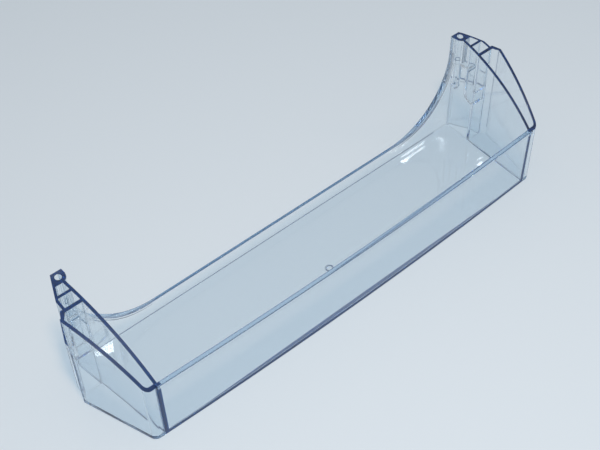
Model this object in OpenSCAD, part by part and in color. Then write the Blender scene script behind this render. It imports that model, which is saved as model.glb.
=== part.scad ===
// Clear door bin for a refrigerator, moulded in one piece.
// Units are mm and +Z is up. The origin is under the middle of the bin, at the foot.
// +X runs along the bin, -Y is the room side and +Y is the door side.
// The formulas work with y = 0 at the front corners; door_bin() moves it to the origin.

/* [Overall] */
// Length of the front panel at its foot, corner to corner
front_len = 416.8; // [400:0.2:430]
// Depth from the front corners to the outer face of the back wall
bin_depth = 105.4; // [103:0.2:110]
// Thickness of the front panel and of the end walls
wall = 2.6; // [2.2:0.1:3]
// Thickness of the main floor and of the pocket floors
floor_t = 2.5; // [2:0.1:4]

/* [Front panel] */
// Height of the front panel
front_h = 62.2; // [56:0.2:66]
// Outward bow of the front panel at mid-length
bow = 4.2; // [2:0.1:8]
// Outward lean of the front panel in degrees
front_lean = 0.6; // [0:0.1:1.5]
// How far the rim bead stands out from the panel
bead_out = 1.25; // [0.6:0.05:2]
// Height of the rim bead
bead_h = 4.6; // [3:0.1:7]

/* [Back wall] */
// Height of the low back wall
back_h = 16; // [12:0.5:22]
// Thickness of the back wall and of the flanges beside it
back_t = 2.5; // [2:0.1:3.2]
// Radius of the flare from the back wall up to each tower
flare_r = 75; // [66:1:84]
// How far each flange stands in from the foot line of the end wall
flange_in = 2.3; // [1.5:0.1:5]
// Width of the stiffening lip along the flare
lip_w = 2.5; // [1.6:0.1:4]
// Depth of the lip beside the towers, over the back wall
lip_d = 5.5; // [4:0.1:8]
// Length of the lip at its full depth, up to the flange
lip_run = 35; // [25:1:45]
// Length over which the lip fades into the back wall
lip_fade = 38; // [25:1:50]

/* [End walls and pockets] */
// Width over a pocket's two walls at its front
pocket_w = 11.6; // [10.5:0.1:16]
// Splay of the inner end wall in degrees
splay_in = 5.4; // [4:0.1:7]
// Splay of the pocket's outer skin in degrees
splay_out = 16.6; // [15:0.1:18]
// Outward lean of both end walls in degrees
lean = 1.5; // [0.8:0.1:2]
// Radius of the pocket's front corner
corner_r = 6.5; // [5:0.5:7.5]
// Distance from the outer face of the back wall to the middle of the cross rib
rib_back = 31.9; // [30.5:0.1:34]
// Thickness of the cross rib
rib_t = 2.8; // [2:0.1:3.4]
// Depth of the slanted corner where the skin meets the tower
jog = 6; // [5:0.5:7]
// Radius of the arched top edge of the end walls
arch_r = 178; // [150:1:240]

/* [Towers] */
// Height of the tower tips
tip_h = 106.8; // [105:0.2:110]
// Width of a tower at the cross rib, from the inner face of the end wall
tower_w = 18.2; // [17:0.1:20]
// Distance from the outer face of the back wall to the bend in the tower's side
bend_back = 22.6; // [20:0.2:25]
// Inward slant of the tower's side behind the bend in degrees
tower_slant = 24.5; // [22:0.5:27]
// Thickness of the tower's side
tower_t = 2.3; // [1.8:0.1:2.8]
// Height of the wider foot of each tower
foot_h = 57; // [45:1:60]
// How far the tower's foot stands out
foot_out = 2.2; // [1:0.1:3]
// Distance from the outer face of the back wall to the middle of the front bar
bar2_back = 20.3; // [19.5:0.1:21.5]
// Distance from the outer face of the back wall to the middle of the rear bar
bar1_back = 10.6; // [10.4:0.1:12]
// Thickness of the two bars
bar_t = 2.3; // [1.8:0.1:2.8]

/* [Tower cells] */
// Height of the deep front cell's rounded floor
cell_z = 45.8; // [42:0.2:50]
// Thickness of that floor
cell_t = 2.3; // [1.8:0.1:3]
// Radius of the floor's rear edge
cell_r = 6.4; // [4:0.1:7]
// Height of the ledge where the front cell gets wider
ledge_z = 74.5; // [70:0.5:80]
// Width of that ledge
ledge_w = 0.8; // [0.4:0.1:1.2]
// Radius of the ledge's rear edge
ledge_r = 4; // [3:0.1:6]
// Diameter of the round hole in the tower tip
tip_bore = 5.6; // [4.6:0.1:6]
// Height of the step in that hole
tip_bore_z = 82; // [80:0.5:90]
// Diameter of the hole below its step
low_bore = 4.2; // [4:0.1:4.4]
// Height of the hole's rounded bottom
low_bore_z = 52; // [50:0.5:60]

/* [Columns] */
// Radius of the upper part of the column around the round hole
col_r = 6; // [5.4:0.1:6]
// Radius of the lower part of that column
col_low_r = 5.2; // [4.4:0.1:5.3]
// Height where the upper part of the column ends
col_z = 79; // [76:0.5:82]
// Height of the column's rounded bottom
col_low_z = 47.5; // [42:0.5:50]

/* [Hook sockets] */
// Height of the bridge that rests on the door's lug
socket_h = 77; // [70:0.5:80]
// Thickness of that bridge
bridge_t = 2.5; // [2:0.1:4]

/* [Floor mark] */
// Diameter of the ring left on the floor by the gate
gate_d = 7.2; // [5:0.1:10]
// Width of the ring
gate_w = 0.8; // [0.4:0.1:1.2]
// Height of the ring above the floor
gate_h = 0.5; // [0.2:0.1:1]
// Distance from the front corners' line to the ring
gate_y = 40; // [30:1:60]

/* [Hidden] */
over = 1;
far = 400;
col_inset = 0.3;
tip_flat = 0.3;
half = front_len / 2;
s_in = tan(splay_in);
s_out = tan(splay_out);
s_tower = tan(tower_slant);
s_lean = tan(lean);
s_front = tan(front_lean);
rib_y = bin_depth - rib_back;
bend_y = bin_depth - bend_back;
skin_end_y = rib_y - jog;

// Circle of the bow: its radius and the y of its centre
bow_r = (half * half + bow * bow) / (2 * bow);
bow_y = bow_r - bow;

// Rear inner edge of the towers and the centre of each flare
flange_x = half - wall + s_in * bin_depth - flange_in;
flare_x = flange_x - flare_r;
flare_z = back_h + flare_r;

// Half-length of the back wall's plate, which ends inside the towers
back_x = half - wall + s_in * bin_depth + s_lean * tip_h + wall / 4;

// Middle of the column and of the round hole in it
col_x = flange_x + col_r + col_inset;
col_y = bin_depth - col_low_r - col_inset;

// Faces of the cross rib and of the two bars
rib_front = rib_y - rib_t / 2;
rib_rear = rib_y + rib_t / 2;
bar2_y = bin_depth - bar2_back;
bar1_y = bin_depth - bar1_back;

// Half the front-to-back size, for the origin
front_y = -(bow + s_front * front_h + bead_out);
mid_y = (bin_depth + front_y) / 2;

// Centre of the arch, which runs from the rim of the front panel to the flat tower tips
chord_y = bin_depth - wall;
chord_z = tip_h + tip_flat - front_h;
chord = sqrt(chord_y * chord_y + chord_z * chord_z);
arch_d = sqrt(arch_r * arch_r - chord * chord / 4);
arch_y = wall + chord_y / 2 + arch_d * chord_z / chord;
arch_z = front_h + chord_z / 2 - arch_d * chord_y / chord;

function inner_x(y) = half - wall + s_in * y;
function skin_x(y) = half - wall + pocket_w + s_out * y;
function tower_x(y) = inner_x(rib_y) + tower_w - s_tower * max(0, y - bend_y);

// Fillet circle that touches the front line and the skin's line
fillet_x = skin_x(0) + s_out * corner_r - corner_r / cos(splay_out);

module leaning() {
    translate([half, 0, 0])
        rotate([0, lean, 0])
            translate([-half, 0, 0])
                translate([0, 0, -far / 20])
                    linear_extrude(tip_h + far / 10)
                        children();
}

module slab(z0, z1) {
    translate([0, -far / 2, z0])
        cube([far, far, z1 - z0]);
}

module side_profile() {
    translate([half - far / 4, 0, 0])
        rotate([90, 0, 90])
            linear_extrude(far / 2)
                children();
}

// All that lies outward of the end wall's inner face by t
module beyond_wall(t) {
    leaning()
        polygon([
            [inner_x(-far / 4) + t, -far / 4],
            [inner_x(0) + far / 2, -far / 4],
            [inner_x(0) + far / 2, far / 2],
            [inner_x(far / 2) + t, far / 2]
        ]);
}

// Plan of the pocket, shrunk by t where its inside is wanted
module pocket_plan(t) {
    polygon([
        [inner_x(0) - corner_r, t],
        [fillet_x, t],
        [fillet_x + (corner_r - t) * cos(splay_out), corner_r - (corner_r - t) * sin(splay_out)],
        [skin_x(skin_end_y) - t / cos(splay_out), skin_end_y],
        [tower_x(rib_y) + foot_out - t, rib_rear - t],
        [inner_x(0) - corner_r, rib_rear - t]
    ]);
    translate([fillet_x, corner_r])
        circle(r = corner_r - t, $fn = 72);
}

// Plan of the tower from the cross rib to the back wall, shrunk by t at its side
module tower_plan(t) {
    polygon([
        [inner_x(0) - corner_r, rib_y],
        [tower_x(rib_y) - t, rib_y],
        [tower_x(rib_y) - t, bend_y],
        [tower_x(bin_depth + over) - t, bin_depth + over],
        [inner_x(0) - corner_r, bin_depth + over]
    ]);
}

// All that lies under the arch at the right end of the bin
module under_arch() {
    side_profile()
        intersection() {
            translate([arch_y, arch_z])
                circle(r = arch_r, $fn = 720);
            translate([-corner_r, -corner_r])
                square([bin_depth + 2 * corner_r, tip_h + 2 * corner_r]);
        }
}

// Open-topped trough seen from the side, with a rounded lower rear edge
module scoop(y0, y1, z0, r) {
    translate([y1 - r, z0 + r])
        circle(r = r, $fn = 72);
    translate([y0, z0])
        square([y1 - y0 - r, tip_h]);
    translate([y0, z0 + r])
        square([y1 - y0, tip_h]);
}

module end_block() {
    intersection() {
        union() {
            leaning() pocket_plan(0);
            leaning() tower_plan(0);
            intersection() {
                leaning()
                    translate([foot_out, 0])
                        tower_plan(0);
                slab(-2 * over, foot_h);
            }
        }
        beyond_wall(0);
        under_arch();
    }
}

// Open pocket between the end wall and the skin
module pocket_space() {
    intersection() {
        leaning() pocket_plan(wall);
        beyond_wall(wall);
        side_profile()
            translate([0, floor_t])
                square([rib_front, tip_h]);
    }
}

// Deep front cell of a tower, wider above its ledge, and the shallow cell behind it
module tower_cells() {
    cell_rear = bar2_y - bar_t / 2;
    intersection() {
        leaning() tower_plan(tower_t);
        beyond_wall(wall);
        side_profile() {
            scoop(rib_rear, cell_rear, ledge_z, ledge_r);
            translate([bar2_y + bar_t / 2, socket_h + bridge_t])
                square([bar1_y - bar2_y - bar_t, tip_h]);
        }
    }
    intersection() {
        leaning() tower_plan(tower_t + ledge_w);
        beyond_wall(wall + ledge_w);
        side_profile()
            scoop(rib_rear, cell_rear - ledge_w, cell_z, cell_r);
    }
}

// Socket under the tower, open below, that drops over the door's lug
module socket_space() {
    intersection() {
        union() {
            leaning() tower_plan(tower_t);
            intersection() {
                leaning()
                    translate([foot_out, 0])
                        tower_plan(tower_t);
                slab(-3 * over, foot_h - tower_t);
            }
        }
        beyond_wall(wall);
        side_profile()
            difference() {
                translate([rib_rear, -2 * over])
                    square([bin_depth - back_t - rib_rear, socket_h + 2 * over]);
                scoop(rib_y, bar2_y + bar_t / 2, cell_z - cell_t, cell_r + bar_t);
            }
    }
}

// Two-step round column with a rounded end, standing in the rear corner of the tower
module column() {
    intersection() {
        union() {
            translate([col_x, col_y, col_z])
                cylinder(r = col_r, h = tip_h, $fn = 96);
            translate([col_x, col_y, col_low_z + col_low_r])
                cylinder(r = col_low_r, h = tip_h, $fn = 96);
            translate([col_x, col_y, col_low_z + col_low_r])
                sphere(r = col_low_r, $fn = 96);
        }
        leaning() tower_plan(0);
        under_arch();
    }
}

// Round hole in the tip, with a step and a rounded bottom
module tip_hole() {
    translate([col_x, col_y, tip_bore_z])
        cylinder(d = tip_bore, h = tip_h, $fn = 72);
    translate([col_x, col_y, low_bore_z + low_bore / 2])
        cylinder(d = low_bore, h = tip_bore_z - low_bore_z, $fn = 72);
    translate([col_x, col_y, low_bore_z + low_bore / 2])
        sphere(d = low_bore, $fn = 72);
}

module right_end() {
    difference() {
        union() {
            difference() {
                end_block();
                pocket_space();
                tower_cells();
                socket_space();
            }
            column();
        }
        tip_hole();
    }
}

// What the flares leave open above the back wall, seen from the front
module back_opening() {
    translate([-flare_x, back_h])
        square([2 * flare_x, tip_h]);
    translate([-flange_x, flare_z])
        square([2 * flange_x, tip_h]);
    for (side = [-1, 1])
        translate([side * flare_x, flare_z])
            circle(r = flare_r, $fn = 360);
}

// Upright plate or space of a given depth, measured forward of the back face
module upright(depth) {
    translate([0, bin_depth + over, 0])
        rotate([90, 0, 0])
            linear_extrude(depth + over)
                children();
}

// Lip along the right flare, which fades out towards the middle of the back wall
module lip() {
    lip_x = flange_x - lip_run;
    intersection() {
        upright(lip_d) {
            translate([flare_x, flare_z])
                circle(r = flare_r + lip_w, $fn = 360);
            translate([flare_x, flare_z])
                square([flare_r + lip_w, tip_h]);
        }
        translate([0, 0, back_h - lip_w])
            linear_extrude(tip_h)
                polygon([
                    [lip_x - lip_fade, bin_depth - back_t],
                    [lip_x, bin_depth - lip_d],
                    [far, bin_depth - lip_d],
                    [far, bin_depth],
                    [lip_x - lip_fade, bin_depth]
                ]);
        under_arch();
    }
}

module back_wall() {
    difference() {
        union() {
            upright(back_t)
                translate([-back_x, -over])
                    square([2 * back_x, tip_h + 2 * over]);
            for (side = [0, 1])
                mirror([side, 0, 0])
                    lip();
        }
        upright(lip_d + over)
            back_opening();
    }
}

module floor_plate() {
    translate([0, 0, -over])
        linear_extrude(floor_t + over)
            intersection() {
                translate([0, bow_y])
                    circle(r = bow_r - wall / 2, $fn = 3600);
                polygon([
                    [-inner_x(bin_depth) - wall / 2, bin_depth - back_t / 2],
                    [-half + wall / 2, -2 * bow],
                    [half - wall / 2, -2 * bow],
                    [inner_x(bin_depth) + wall / 2, bin_depth - back_t / 2]
                ]);
            }
}

module front_panel() {
    top_r = bow_r + s_front * front_h;
    bead_z = front_h - bead_h;
    round_r = bead_out / 2;
    span = 2 * asin(half / bow_r) + 1;
    difference() {
        translate([0, bow_y, 0])
            rotate([0, 0, -90 - span / 2])
                rotate_extrude(angle = span, $fn = 3600)
                    polygon(concat(
                        [
                            [top_r - wall, front_h],
                            [bow_r - wall - s_front * over, -over],
                            [bow_r - s_front * over, -over],
                            [bow_r + s_front * bead_z, bead_z],
                            [top_r + bead_out, bead_z + bead_out]
                        ],
                        [
                            for (a = [0 : 15 : 90])
                                [
                                    top_r + bead_out - round_r * (1 - cos(a)),
                                    front_h - round_r * (1 - sin(a))
                                ]
                        ]
                    ));
        for (side = [0, 1])
            mirror([side, 0, 0])
                leaning()
                    translate([half, -far / 4])
                        square([far, far / 2]);
    }
}

module gate_ring() {
    translate([0, gate_y, floor_t - 0.2])
        difference() {
            cylinder(d = gate_d, h = gate_h + 0.2, $fn = 72);
            translate([0, 0, 0.2])
                cylinder(d = gate_d - 2 * gate_w, h = gate_h + over, $fn = 72);
        }
}

module door_bin() {
    color("lightsteelblue")
        translate([0, -mid_y, 0])
            intersection() {
                union() {
                    floor_plate();
                    front_panel();
                    back_wall();
                    gate_ring();
                    right_end();
                    mirror([1, 0, 0])
                        right_end();
                }
                translate([-far, bin_depth - far, 0])
                    cube([2 * far, far, tip_h]);
            }
}

door_bin();
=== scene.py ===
"""Clear refrigerator door bin, moulded in one piece, on a plain pale floor.

Everything is in metres in the part's own frame: +X along the bin, -Y the room side,
+Y the door side, +Z up. The foot stands on z = 0.
"""

import math
from types import SimpleNamespace

import bmesh
import bpy
from mathutils import Matrix, Vector
from mathutils.bvhtree import BVHTree


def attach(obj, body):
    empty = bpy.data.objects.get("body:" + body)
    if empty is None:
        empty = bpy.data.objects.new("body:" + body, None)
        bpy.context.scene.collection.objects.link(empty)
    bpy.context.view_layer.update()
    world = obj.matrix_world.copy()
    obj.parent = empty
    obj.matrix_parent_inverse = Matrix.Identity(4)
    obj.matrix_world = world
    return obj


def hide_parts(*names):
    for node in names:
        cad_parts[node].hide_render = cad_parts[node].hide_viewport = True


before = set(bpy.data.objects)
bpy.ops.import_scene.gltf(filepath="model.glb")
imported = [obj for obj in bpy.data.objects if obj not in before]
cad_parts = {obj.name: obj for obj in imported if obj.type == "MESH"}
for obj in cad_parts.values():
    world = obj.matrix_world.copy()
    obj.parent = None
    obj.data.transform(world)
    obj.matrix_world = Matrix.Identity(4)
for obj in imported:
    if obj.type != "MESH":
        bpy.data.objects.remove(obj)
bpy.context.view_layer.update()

MM = 0.001

# ---- sizes of the moulding that the finish depends on ------------------------------------
WALL = 2.6 * MM              # usual thickness of its walls
CORNER_ROUND = 0.5 * MM      # rounding of its corners
FOOT_ROUND = 2.0 * MM        # rounding under the two end pockets

# where its parts begin
END_FROM = 206.0 * MM        # an end with its pocket and tower lies further out than this
POCKET_FROM = 212.0 * MM     # the foot of the pocket lies further out than this
TOWER_OUT_FROM = 197.0 * MM  # the tower lies further out than this
TOWER_BACK_FROM = 21.0 * MM  # and further back than this
PALE_FOOT = 10.0 * MM        # height of the pale lines round the foot of a pocket

# where other walls meet the front panel's outer side
FRONT_SIDE = -48.0 * MM      # that side lies further forward than this
END_WALL = (204.9 * MM, 208.6 * MM)   # an end wall meets it between these at the foot
END_LEAN = 0.030             # and this much further out for each step up
RIM_FOOT = 57.0 * MM         # up to the foot of the rim
FLOOR_PLATE = 3.2 * MM       # the floor plate meets it below this

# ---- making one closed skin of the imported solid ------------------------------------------
MERGE = 0.002 * MM           # corners closer than this are one
CORNER_ANGLE = math.radians(8)     # a sharper bend than this between two sides is a corner
FLAT_ANGLE = math.radians(0.2)     # faces that lie in one plane within this are one face
JUST_INSIDE = 0.02 * MM      # depths are measured from this far below a side
DEEPEST = 0.2                # and no deeper than this
SPECK = 1e-12                # a triangle smaller than this, in m2, measures nothing

# ---- colours and polish of the plastic ---------------------------------------------------
CLEAR = (0.94, 0.965, 0.98, 1)           # straight through a wall
PAINTED_BACK_EDGE_SHADE = (0.22, 0.42, 0.66, 1)        # painted blue shade along the top edge of the low back wall
PAINTED_EDGE_SHADE = (0.0005, 0.010, 0.085, 1)         # painted navy shade along the narrow edges at the ends and beside the corners
PAST_A_WALL = (0.93, 0.955, 0.97, 1)     # a lamp's light after each side of a wall
BODY_BLUE = (0.25, 0.55, 0.80, 1)        # the plastic itself
BODY_DENSITY = 8.0
REFRACTION = 1.57
EDGE_DEPTH = (1.6 * WALL, 6.0 * WALL)    # plastic behind a side: none of an edge, all of one
CORNER_LINE = 1.4 * MM       # how far from a corner its line of painted shade or its paler line reaches
CORNER_TURN = (0.99, 0.88)   # cosine of the rounded side's turn: line starts, line is full
ROUNDING_SAMPLES = 6
EDGE_COAT = 0.15             # share of gloss coat on the narrow edges
COAT_ROUGHNESS = 0.03
POLISH_SCALE = 90.0          # blotches of uneven polish in a metre
POLISH_DETAIL = 3.0
POLISH_ROUGHNESS = 0.012     # at its dullest
EDGE_ROUGHNESS = 0.35        # on the narrow edges and the pale lines
BACK_EDGE_ROUGHNESS = 0.12   # on the top edge of the low back wall

# ---- floor and light ---------------------------------------------------------------------
FLOOR_HALF = 5.0
FLOOR_DROP = 0.2 * MM        # the floor lies this far below the foot
FLOOR_COLOUR = (0.74, 0.78, 0.81, 1)
FLOOR_ROUGHNESS = 0.55
FLOOR_GLOSS = 0.2
SKY_COLOUR = (0.62, 0.68, 0.74, 1)
SKY_STRENGTH = 0.62

# Lamps: name, place, the point it faces, width and length, watts. The last is behind the
# bin, and its mirror image lies on the floor of the bin at the near end.
LAMPS = (
    ("key", (-0.35, -0.62, 1.5), (0, 0, 0), (0.14, 0.14), 14.0),
    ("side", (1.06, -0.65, 0.975), (0.1, 0, 0), (0.03, 0.03), 0.3),
    ("near spark", (0.144, 0.748, 0.912), (-0.192, 0.052, 0.0), (0.035, 0.03), 0.3),
)

# Thin lamps that face straight down and are mirrored at the far end of the bin: middle
# along X and along Y, length, width, watts for each square metre.
STREAK_HEIGHT = 0.794
FAR_STREAKS = (
    (0.834, 0.640, 0.066, 0.002, 200.0),       # these three by the floor
    (0.808, 0.638, 0.016, 0.007, 200.0),
    (0.843, 0.650, 0.066, 0.0015, 200.0),
    (0.847, -0.552, 0.080, 0.003, 800.0),      # and these two by the back wall and the floor
    (0.830, -0.564, 0.050, 0.003, 800.0),
)

# Light is mirrored inside a wall many times on its way to an edge. With fewer bounces the
# edges turn black.
WALL_BOUNCES = 128
DIFFUSE_BOUNCES = 4
TRANSPARENT_BOUNCES = 32

# ---- camera, as the photograph was taken -------------------------------------------------
CAMERA_AT = Vector((-0.4663, -0.50745, 0.7382))
CAMERA_AZIMUTH = math.radians(-41.058)
CAMERA_ELEVATION = math.radians(45.021)
CAMERA_ROLL = math.radians(1.327)
PICTURE_WIDTH = 600
FOCAL_PIXELS = 1156.9
SENSOR_WIDTH = 36.0
NEAREST_SEEN = 0.01


# ---- materials ---------------------------------------------------------------------------
class Finish:
    """A material being made, with short calls for its nodes and links."""

    def __init__(self, name):
        self.material = bpy.data.materials.new(name)
        self.material.use_nodes = True
        self.tree = self.material.node_tree
        self.tree.nodes.clear()
        self.output = self.node("ShaderNodeOutputMaterial")

    def node(self, kind, **values):
        """A node of that kind; a keyword sets a property, or an input where it names one."""
        node = self.tree.nodes.new(kind)
        for key, value in values.items():
            if hasattr(node, key):
                setattr(node, key, value)
            else:
                node.inputs[key].default_value = value
        return node

    def feed(self, socket, value):
        """Gives an input another node's output, or a plain value."""
        if isinstance(value, bpy.types.NodeSocket):
            self.tree.links.new(value, socket)
        else:
            socket.default_value = value

    def maths(self, operation, *values):
        """One sum on sockets or numbers."""
        node = self.node("ShaderNodeMath", operation=operation)
        for socket, value in zip(node.inputs, values):
            self.feed(socket, value)
        return node.outputs["Value"]

    def ramp(self, value, start, end, low=0.0, high=1.0):
        """A value from low to high as another goes from start to end."""
        node = self.node("ShaderNodeMapRange")
        for name, number in (("Value", value), ("From Min", start), ("From Max", end),
                             ("To Min", low), ("To Max", high)):
            self.feed(node.inputs[name], number)
        return node.outputs["Result"]

    def mix(self, factor, first, second):
        """A colour between two others."""
        node = self.node("ShaderNodeMix", data_type="RGBA")
        self.feed(node.inputs["Factor"], factor)
        colours = [socket for socket in node.inputs if socket.type == "RGBA"]
        self.feed(colours[0], first)
        self.feed(colours[1], second)
        return node.outputs[2]


def moulding_zones(look, place):
    """Masks that say on which part of the moulding a point lies."""
    where = look.node("ShaderNodeSeparateXYZ")
    look.feed(where.inputs["Vector"], place)
    outward = look.maths("ABSOLUTE", where.outputs["X"])
    back, up = where.outputs["Y"], where.outputs["Z"]

    at_end = look.maths("GREATER_THAN", outward, END_FROM)
    at_back = look.maths("GREATER_THAN", back, TOWER_BACK_FROM)
    in_pocket = look.maths("GREATER_THAN", outward, POCKET_FROM)
    pocket_foot = look.maths("MULTIPLY", in_pocket, look.maths("LESS_THAN", up, PALE_FOOT))
    pocket_sole = look.maths("MULTIPLY", in_pocket, look.maths("LESS_THAN", up, FOOT_ROUND))
    tower = look.maths("MULTIPLY", look.maths("GREATER_THAN", outward, TOWER_OUT_FROM), at_back)
    low_back = look.maths("SUBTRACT", at_back, look.maths("MULTIPLY", at_back, at_end))

    # the front panel's outer side where an end wall or the floor plate stands behind it, which
    # gets painted navy shade
    at_foot = look.maths("SUBTRACT", outward, look.maths("MULTIPLY", up, END_LEAN))
    before_wall = look.maths("MULTIPLY", look.maths("GREATER_THAN", at_foot, END_WALL[0]),
                             look.maths("LESS_THAN", up, RIM_FOOT))
    before_plate = look.maths("LESS_THAN", up, FLOOR_PLATE)
    front_side = look.maths("MULTIPLY", look.maths("LESS_THAN", back, FRONT_SIDE),
                            look.maths("LESS_THAN", at_foot, END_WALL[1]))
    seen_along = look.maths("MULTIPLY", front_side,
                            look.maths("MAXIMUM", before_wall, before_plate))

    return SimpleNamespace(at_end=at_end, low_back=low_back, pocket_sole=pocket_sole,
                           seen_along=seen_along, pale=look.maths("MAXIMUM", pocket_foot, tower))


def corner_lines(look, surface, pale):
    """Masks of the lines of painted shade and of the paler lines beside the corners."""
    rounded = look.node("ShaderNodeBevel", samples=ROUNDING_SAMPLES, Radius=CORNER_LINE)
    turn = look.node("ShaderNodeVectorMath", operation="DOT_PRODUCT")
    look.feed(turn.inputs[0], rounded.outputs["Normal"])
    look.feed(turn.inputs[1], surface.outputs["True Normal"])
    line = look.ramp(turn.outputs["Value"], *CORNER_TURN)
    painted_shade = look.maths("MULTIPLY", line, look.maths("SUBTRACT", 1.0, pale))
    return painted_shade, look.maths("MULTIPLY", line, pale)


def clear_plastic():
    """Polished clear plastic, with painted navy shade where one looks along the inside of a
    wall.
    """
    look = Finish("clear_plastic")
    shader = look.node("ShaderNodeBsdfPrincipled")
    shader.inputs["Transmission Weight"].default_value = 1.0
    shader.inputs["IOR"].default_value = REFRACTION
    shader.inputs["Metallic"].default_value = 0.0
    shader.inputs["Coat Roughness"].default_value = COAT_ROUGHNESS
    place = look.node("ShaderNodeTexCoord").outputs["Object"]
    surface = look.node("ShaderNodeNewGeometry")
    zone = moulding_zones(look, place)
    painted_shade_line, pale_line = corner_lines(look, surface, zone.pale)

    # small moulded rounding along every corner, larger under the end pockets
    corners = look.node("ShaderNodeBevel", samples=ROUNDING_SAMPLES)
    look.feed(corners.inputs["Radius"],
              look.ramp(zone.pocket_sole, 0, 1, CORNER_ROUND, FOOT_ROUND))
    look.feed(shader.inputs["Normal"], corners.outputs["Normal"])

    # colour: almost none through a wall; painted shade on the narrow edges: navy at the ends, on
    # the front panel's outer side before an end wall or the floor plate and along the lines
    # beside the corners, blue on the top edge of the low back wall
    depth = look.node("ShaderNodeAttribute", attribute_name="plastic_depth")
    thick = look.ramp(depth.outputs["Fac"], *EDGE_DEPTH)
    outside = look.maths("SUBTRACT", 1.0, surface.outputs["Backfacing"])
    end_edge = look.maths("MAXIMUM", look.maths("MULTIPLY", thick, zone.at_end),
                          look.maths("MULTIPLY", zone.seen_along, outside))
    back_edge = look.maths("MULTIPLY", thick, zone.low_back)
    # painted shade: the top edge of the low back wall darkened to blue
    colour_and_painted_shade = look.mix(back_edge, CLEAR, PAINTED_BACK_EDGE_SHADE)
    # painted navy shade on the end edges and on the front panel's outer side before an end wall
    # or the floor plate
    colour_and_painted_shade = look.mix(end_edge, colour_and_painted_shade, PAINTED_EDGE_SHADE)
    # painted navy shade along the lines beside the corners, except in the pale zones
    colour_and_painted_shade = look.mix(painted_shade_line, colour_and_painted_shade, PAINTED_EDGE_SHADE)
    look.feed(shader.inputs["Base Color"], colour_and_painted_shade)
    look.feed(shader.inputs["Coat Weight"], look.maths("MULTIPLY", end_edge, EDGE_COAT))

    # a little uneven polish, and less of it on the narrow edges
    polish = look.node("ShaderNodeTexNoise", Scale=POLISH_SCALE, Detail=POLISH_DETAIL)
    look.feed(polish.inputs["Vector"], place)
    rough = look.ramp(polish.outputs["Fac"], 0.0, 1.0, 0.0, POLISH_ROUGHNESS)
    dull = look.maths("MULTIPLY", look.maths("MAXIMUM", end_edge, pale_line), EDGE_ROUGHNESS)
    dull = look.maths("ADD", dull, look.maths("MULTIPLY", back_edge, BACK_EDGE_ROUGHNESS))
    look.feed(shader.inputs["Roughness"], look.maths("ADD", rough, dull))

    # lamps shine through the walls, so that the floor keeps a light shadow
    path = look.node("ShaderNodeLightPath")
    either = look.maths("MAXIMUM", path.outputs["Is Shadow Ray"],
                        path.outputs["Is Diffuse Ray"])
    through = look.node("ShaderNodeBsdfTransparent", Color=PAST_A_WALL)
    both = look.node("ShaderNodeMixShader")
    look.feed(both.inputs["Fac"], either)
    look.feed(both.inputs[1], shader.outputs["BSDF"])
    look.feed(both.inputs[2], through.outputs["BSDF"])
    look.feed(look.output.inputs["Surface"], both.outputs["Shader"])
    body = look.node("ShaderNodeVolumeAbsorption", Color=BODY_BLUE, Density=BODY_DENSITY)
    look.feed(look.output.inputs["Volume"], body.outputs["Volume"])
    return look.material


def pale_floor():
    """Plain matt floor."""
    look = Finish("pale_floor")
    shader = look.node("ShaderNodeBsdfPrincipled")
    shader.inputs["Base Color"].default_value = FLOOR_COLOUR
    shader.inputs["Roughness"].default_value = FLOOR_ROUGHNESS
    shader.inputs["Specular IOR Level"].default_value = FLOOR_GLOSS
    look.feed(look.output.inputs["Surface"], shader.outputs["BSDF"])
    return look.material


# ---- the moulding ------------------------------------------------------------------------
def number_the_sides(skin):
    """Gives each face the number of its connected patch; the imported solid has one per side."""
    layer = skin.faces.layers.int.new("side")
    seen = set()
    number = 0
    for start in skin.faces:
        if start in seen:
            continue
        number += 1
        seen.add(start)
        waiting = [start]
        while waiting:
            face = waiting.pop()
            face[layer] = number
            for vert in face.verts:
                for near in vert.link_faces:
                    if near not in seen:
                        seen.add(near)
                        waiting.append(near)
    return layer


def merged_copy(node, name):
    """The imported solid's mesh as one closed skin with one face for each flat side."""
    mesh = node.data.copy()
    mesh.name = name
    mesh.attributes.remove(mesh.attributes["custom_normal"])
    skin = bmesh.new()
    skin.from_mesh(mesh)
    side = number_the_sides(skin)
    bmesh.ops.remove_doubles(skin, verts=skin.verts, dist=MERGE)
    for edge in skin.edges:
        one, other = edge.link_faces
        corner = one[side] != other[side] and edge.calc_face_angle() > CORNER_ANGLE
        edge.smooth = not corner
    for face in skin.faces:
        face.smooth = True
    bmesh.ops.dissolve_limit(skin, angle_limit=FLAT_ANGLE, verts=skin.verts,
                             edges=skin.edges, use_dissolve_boundaries=False)
    skin.to_mesh(mesh)
    skin.free()
    return mesh


def smooth_piece(mesh, name):
    """The skin as a plain piece: bent sides shaded smooth, flat sides shaded flat."""
    piece = bpy.data.objects.new(name, mesh)
    bpy.context.scene.collection.objects.link(piece)
    normals = piece.modifiers.new("flat sides stay flat", "WEIGHTED_NORMAL")
    normals.mode = "FACE_AREA"
    normals.weight = 100
    normals.keep_sharp = True
    graph = bpy.context.evaluated_depsgraph_get()
    done = bpy.data.meshes.new_from_object(piece.evaluated_get(graph))
    piece.modifiers.clear()
    piece.data = done
    done.name = name
    return piece


def middle_by_area(samples):
    """The depth that half of a side's area stays below, from pairs of depth and area."""
    samples = sorted(samples)
    left = sum(area for _, area in samples) / 2
    for depth, area in samples:
        left -= area
        if left <= 0:
            break
    return depth


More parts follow.
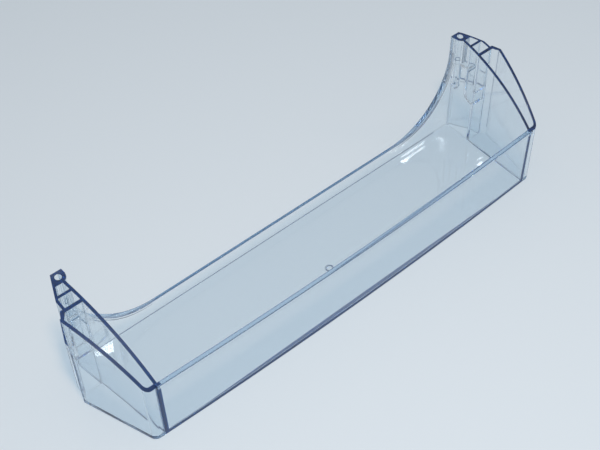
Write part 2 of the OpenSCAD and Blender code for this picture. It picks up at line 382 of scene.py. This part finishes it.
def store_plastic_depth(piece):
    """Stores on each face how much plastic lies straight behind its side, in metres."""
    mesh = piece.data
    mesh.calc_loop_triangles()
    points = [v.co.copy() for v in mesh.vertices]
    triangles = [tuple(t.vertices) for t in mesh.loop_triangles]
    tree = BVHTree.FromPolygons(points, triangles)
    side = [d.value for d in mesh.attributes["side"].data]
    found = {}
    for t in mesh.loop_triangles:
        if t.area < SPECK:
            continue
        middle = sum((points[i] for i in t.vertices), Vector()) / 3
        _, _, _, depth = tree.ray_cast(middle - t.normal * JUST_INSIDE, -t.normal, DEEPEST)
        found.setdefault(side[t.polygon_index], []).append((depth or 0.0, t.area))
    depths = {number: middle_by_area(samples) for number, samples in found.items()}
    attribute = mesh.attributes.new("plastic_depth", "FLOAT", "FACE")
    attribute.data.foreach_set("value", [depths.get(number, WALL) for number in side])


def build_bin():
    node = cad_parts["door_bin"]
    piece = smooth_piece(merged_copy(node, "door_bin_skin"), "door_bin_moulding")
    store_plastic_depth(piece)
    piece.data.materials.clear()
    piece.data.materials.append(clear_plastic())
    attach(piece, "root")
    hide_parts("door_bin")


# ---- floor, lamps and camera -------------------------------------------------------------
def build_floor():
    mesh = bpy.data.meshes.new("floor")
    corners = [(x * FLOOR_HALF, y * FLOOR_HALF, -FLOOR_DROP)
               for x, y in ((-1, -1), (1, -1), (1, 1), (-1, 1))]
    mesh.from_pydata(corners, [], [(0, 1, 2, 3)])
    mesh.materials.append(pale_floor())
    floor = bpy.data.objects.new("floor", mesh)
    bpy.context.scene.collection.objects.link(floor)


def add_lamp(name, at, aim, size, power):
    """A flat white lamp at a point, facing another."""
    lamp = bpy.data.lights.new(name, "AREA")
    lamp.shape = "RECTANGLE"
    lamp.size, lamp.size_y = size
    lamp.energy = power
    thing = bpy.data.objects.new(name, lamp)
    bpy.context.scene.collection.objects.link(thing)
    thing.location = at
    thing.rotation_euler = (Vector(aim) - Vector(at)).to_track_quat("-Z", "Y").to_euler()


def build_lamps():
    for lamp in LAMPS:
        add_lamp(*lamp)
    for number, (along, back, length, width, glow) in enumerate(FAR_STREAKS):
        add_lamp(f"far streak {number}", (along, back, STREAK_HEIGHT), (along, back, 0.0),
                 (length, width), glow * length * width)


def build_sky():
    world = bpy.data.worlds.new("studio")
    bpy.context.scene.world = world
    world.use_nodes = True
    tree = world.node_tree
    tree.nodes.clear()
    output = tree.nodes.new("ShaderNodeOutputWorld")
    sky = tree.nodes.new("ShaderNodeBackground")
    sky.inputs["Color"].default_value = SKY_COLOUR
    sky.inputs["Strength"].default_value = SKY_STRENGTH
    tree.links.new(sky.outputs["Background"], output.inputs["Surface"])


def build_camera():
    back = Vector((
        math.sin(CAMERA_AZIMUTH) * math.cos(CAMERA_ELEVATION),
        -math.cos(CAMERA_AZIMUTH) * math.cos(CAMERA_ELEVATION),
        math.sin(CAMERA_ELEVATION),
    ))
    level_right = (-back).cross(Vector((0, 0, 1))).normalized()
    level_down = (-back).cross(level_right)
    cos_roll, sin_roll = math.cos(CAMERA_ROLL), math.sin(CAMERA_ROLL)
    right = cos_roll * level_right + sin_roll * level_down
    up = sin_roll * level_right - cos_roll * level_down
    data = bpy.data.cameras.new("camera")
    data.sensor_fit = "HORIZONTAL"
    data.sensor_width = SENSOR_WIDTH
    data.lens = SENSOR_WIDTH * FOCAL_PIXELS / PICTURE_WIDTH
    data.clip_start = NEAREST_SEEN
    camera = bpy.data.objects.new("camera", data)
    bpy.context.scene.collection.objects.link(camera)
    turn = Matrix((right, up, back)).transposed().to_4x4()
    camera.matrix_world = Matrix.Translation(CAMERA_AT) @ turn
    bpy.context.scene.camera = camera


def set_light_paths():
    scene = bpy.context.scene
    scene.view_settings.view_transform = "Standard"
    scene.cycles.use_denoising = True
    scene.cycles.max_bounces = WALL_BOUNCES
    scene.cycles.transmission_bounces = WALL_BOUNCES
    scene.cycles.glossy_bounces = WALL_BOUNCES
    scene.cycles.diffuse_bounces = DIFFUSE_BOUNCES
    scene.cycles.transparent_max_bounces = TRANSPARENT_BOUNCES
    scene.cycles.caustics_refractive = False
    scene.cycles.caustics_reflective = False


build_bin()
build_floor()
build_lamps()
build_sky()
build_camera()
set_light_paths()
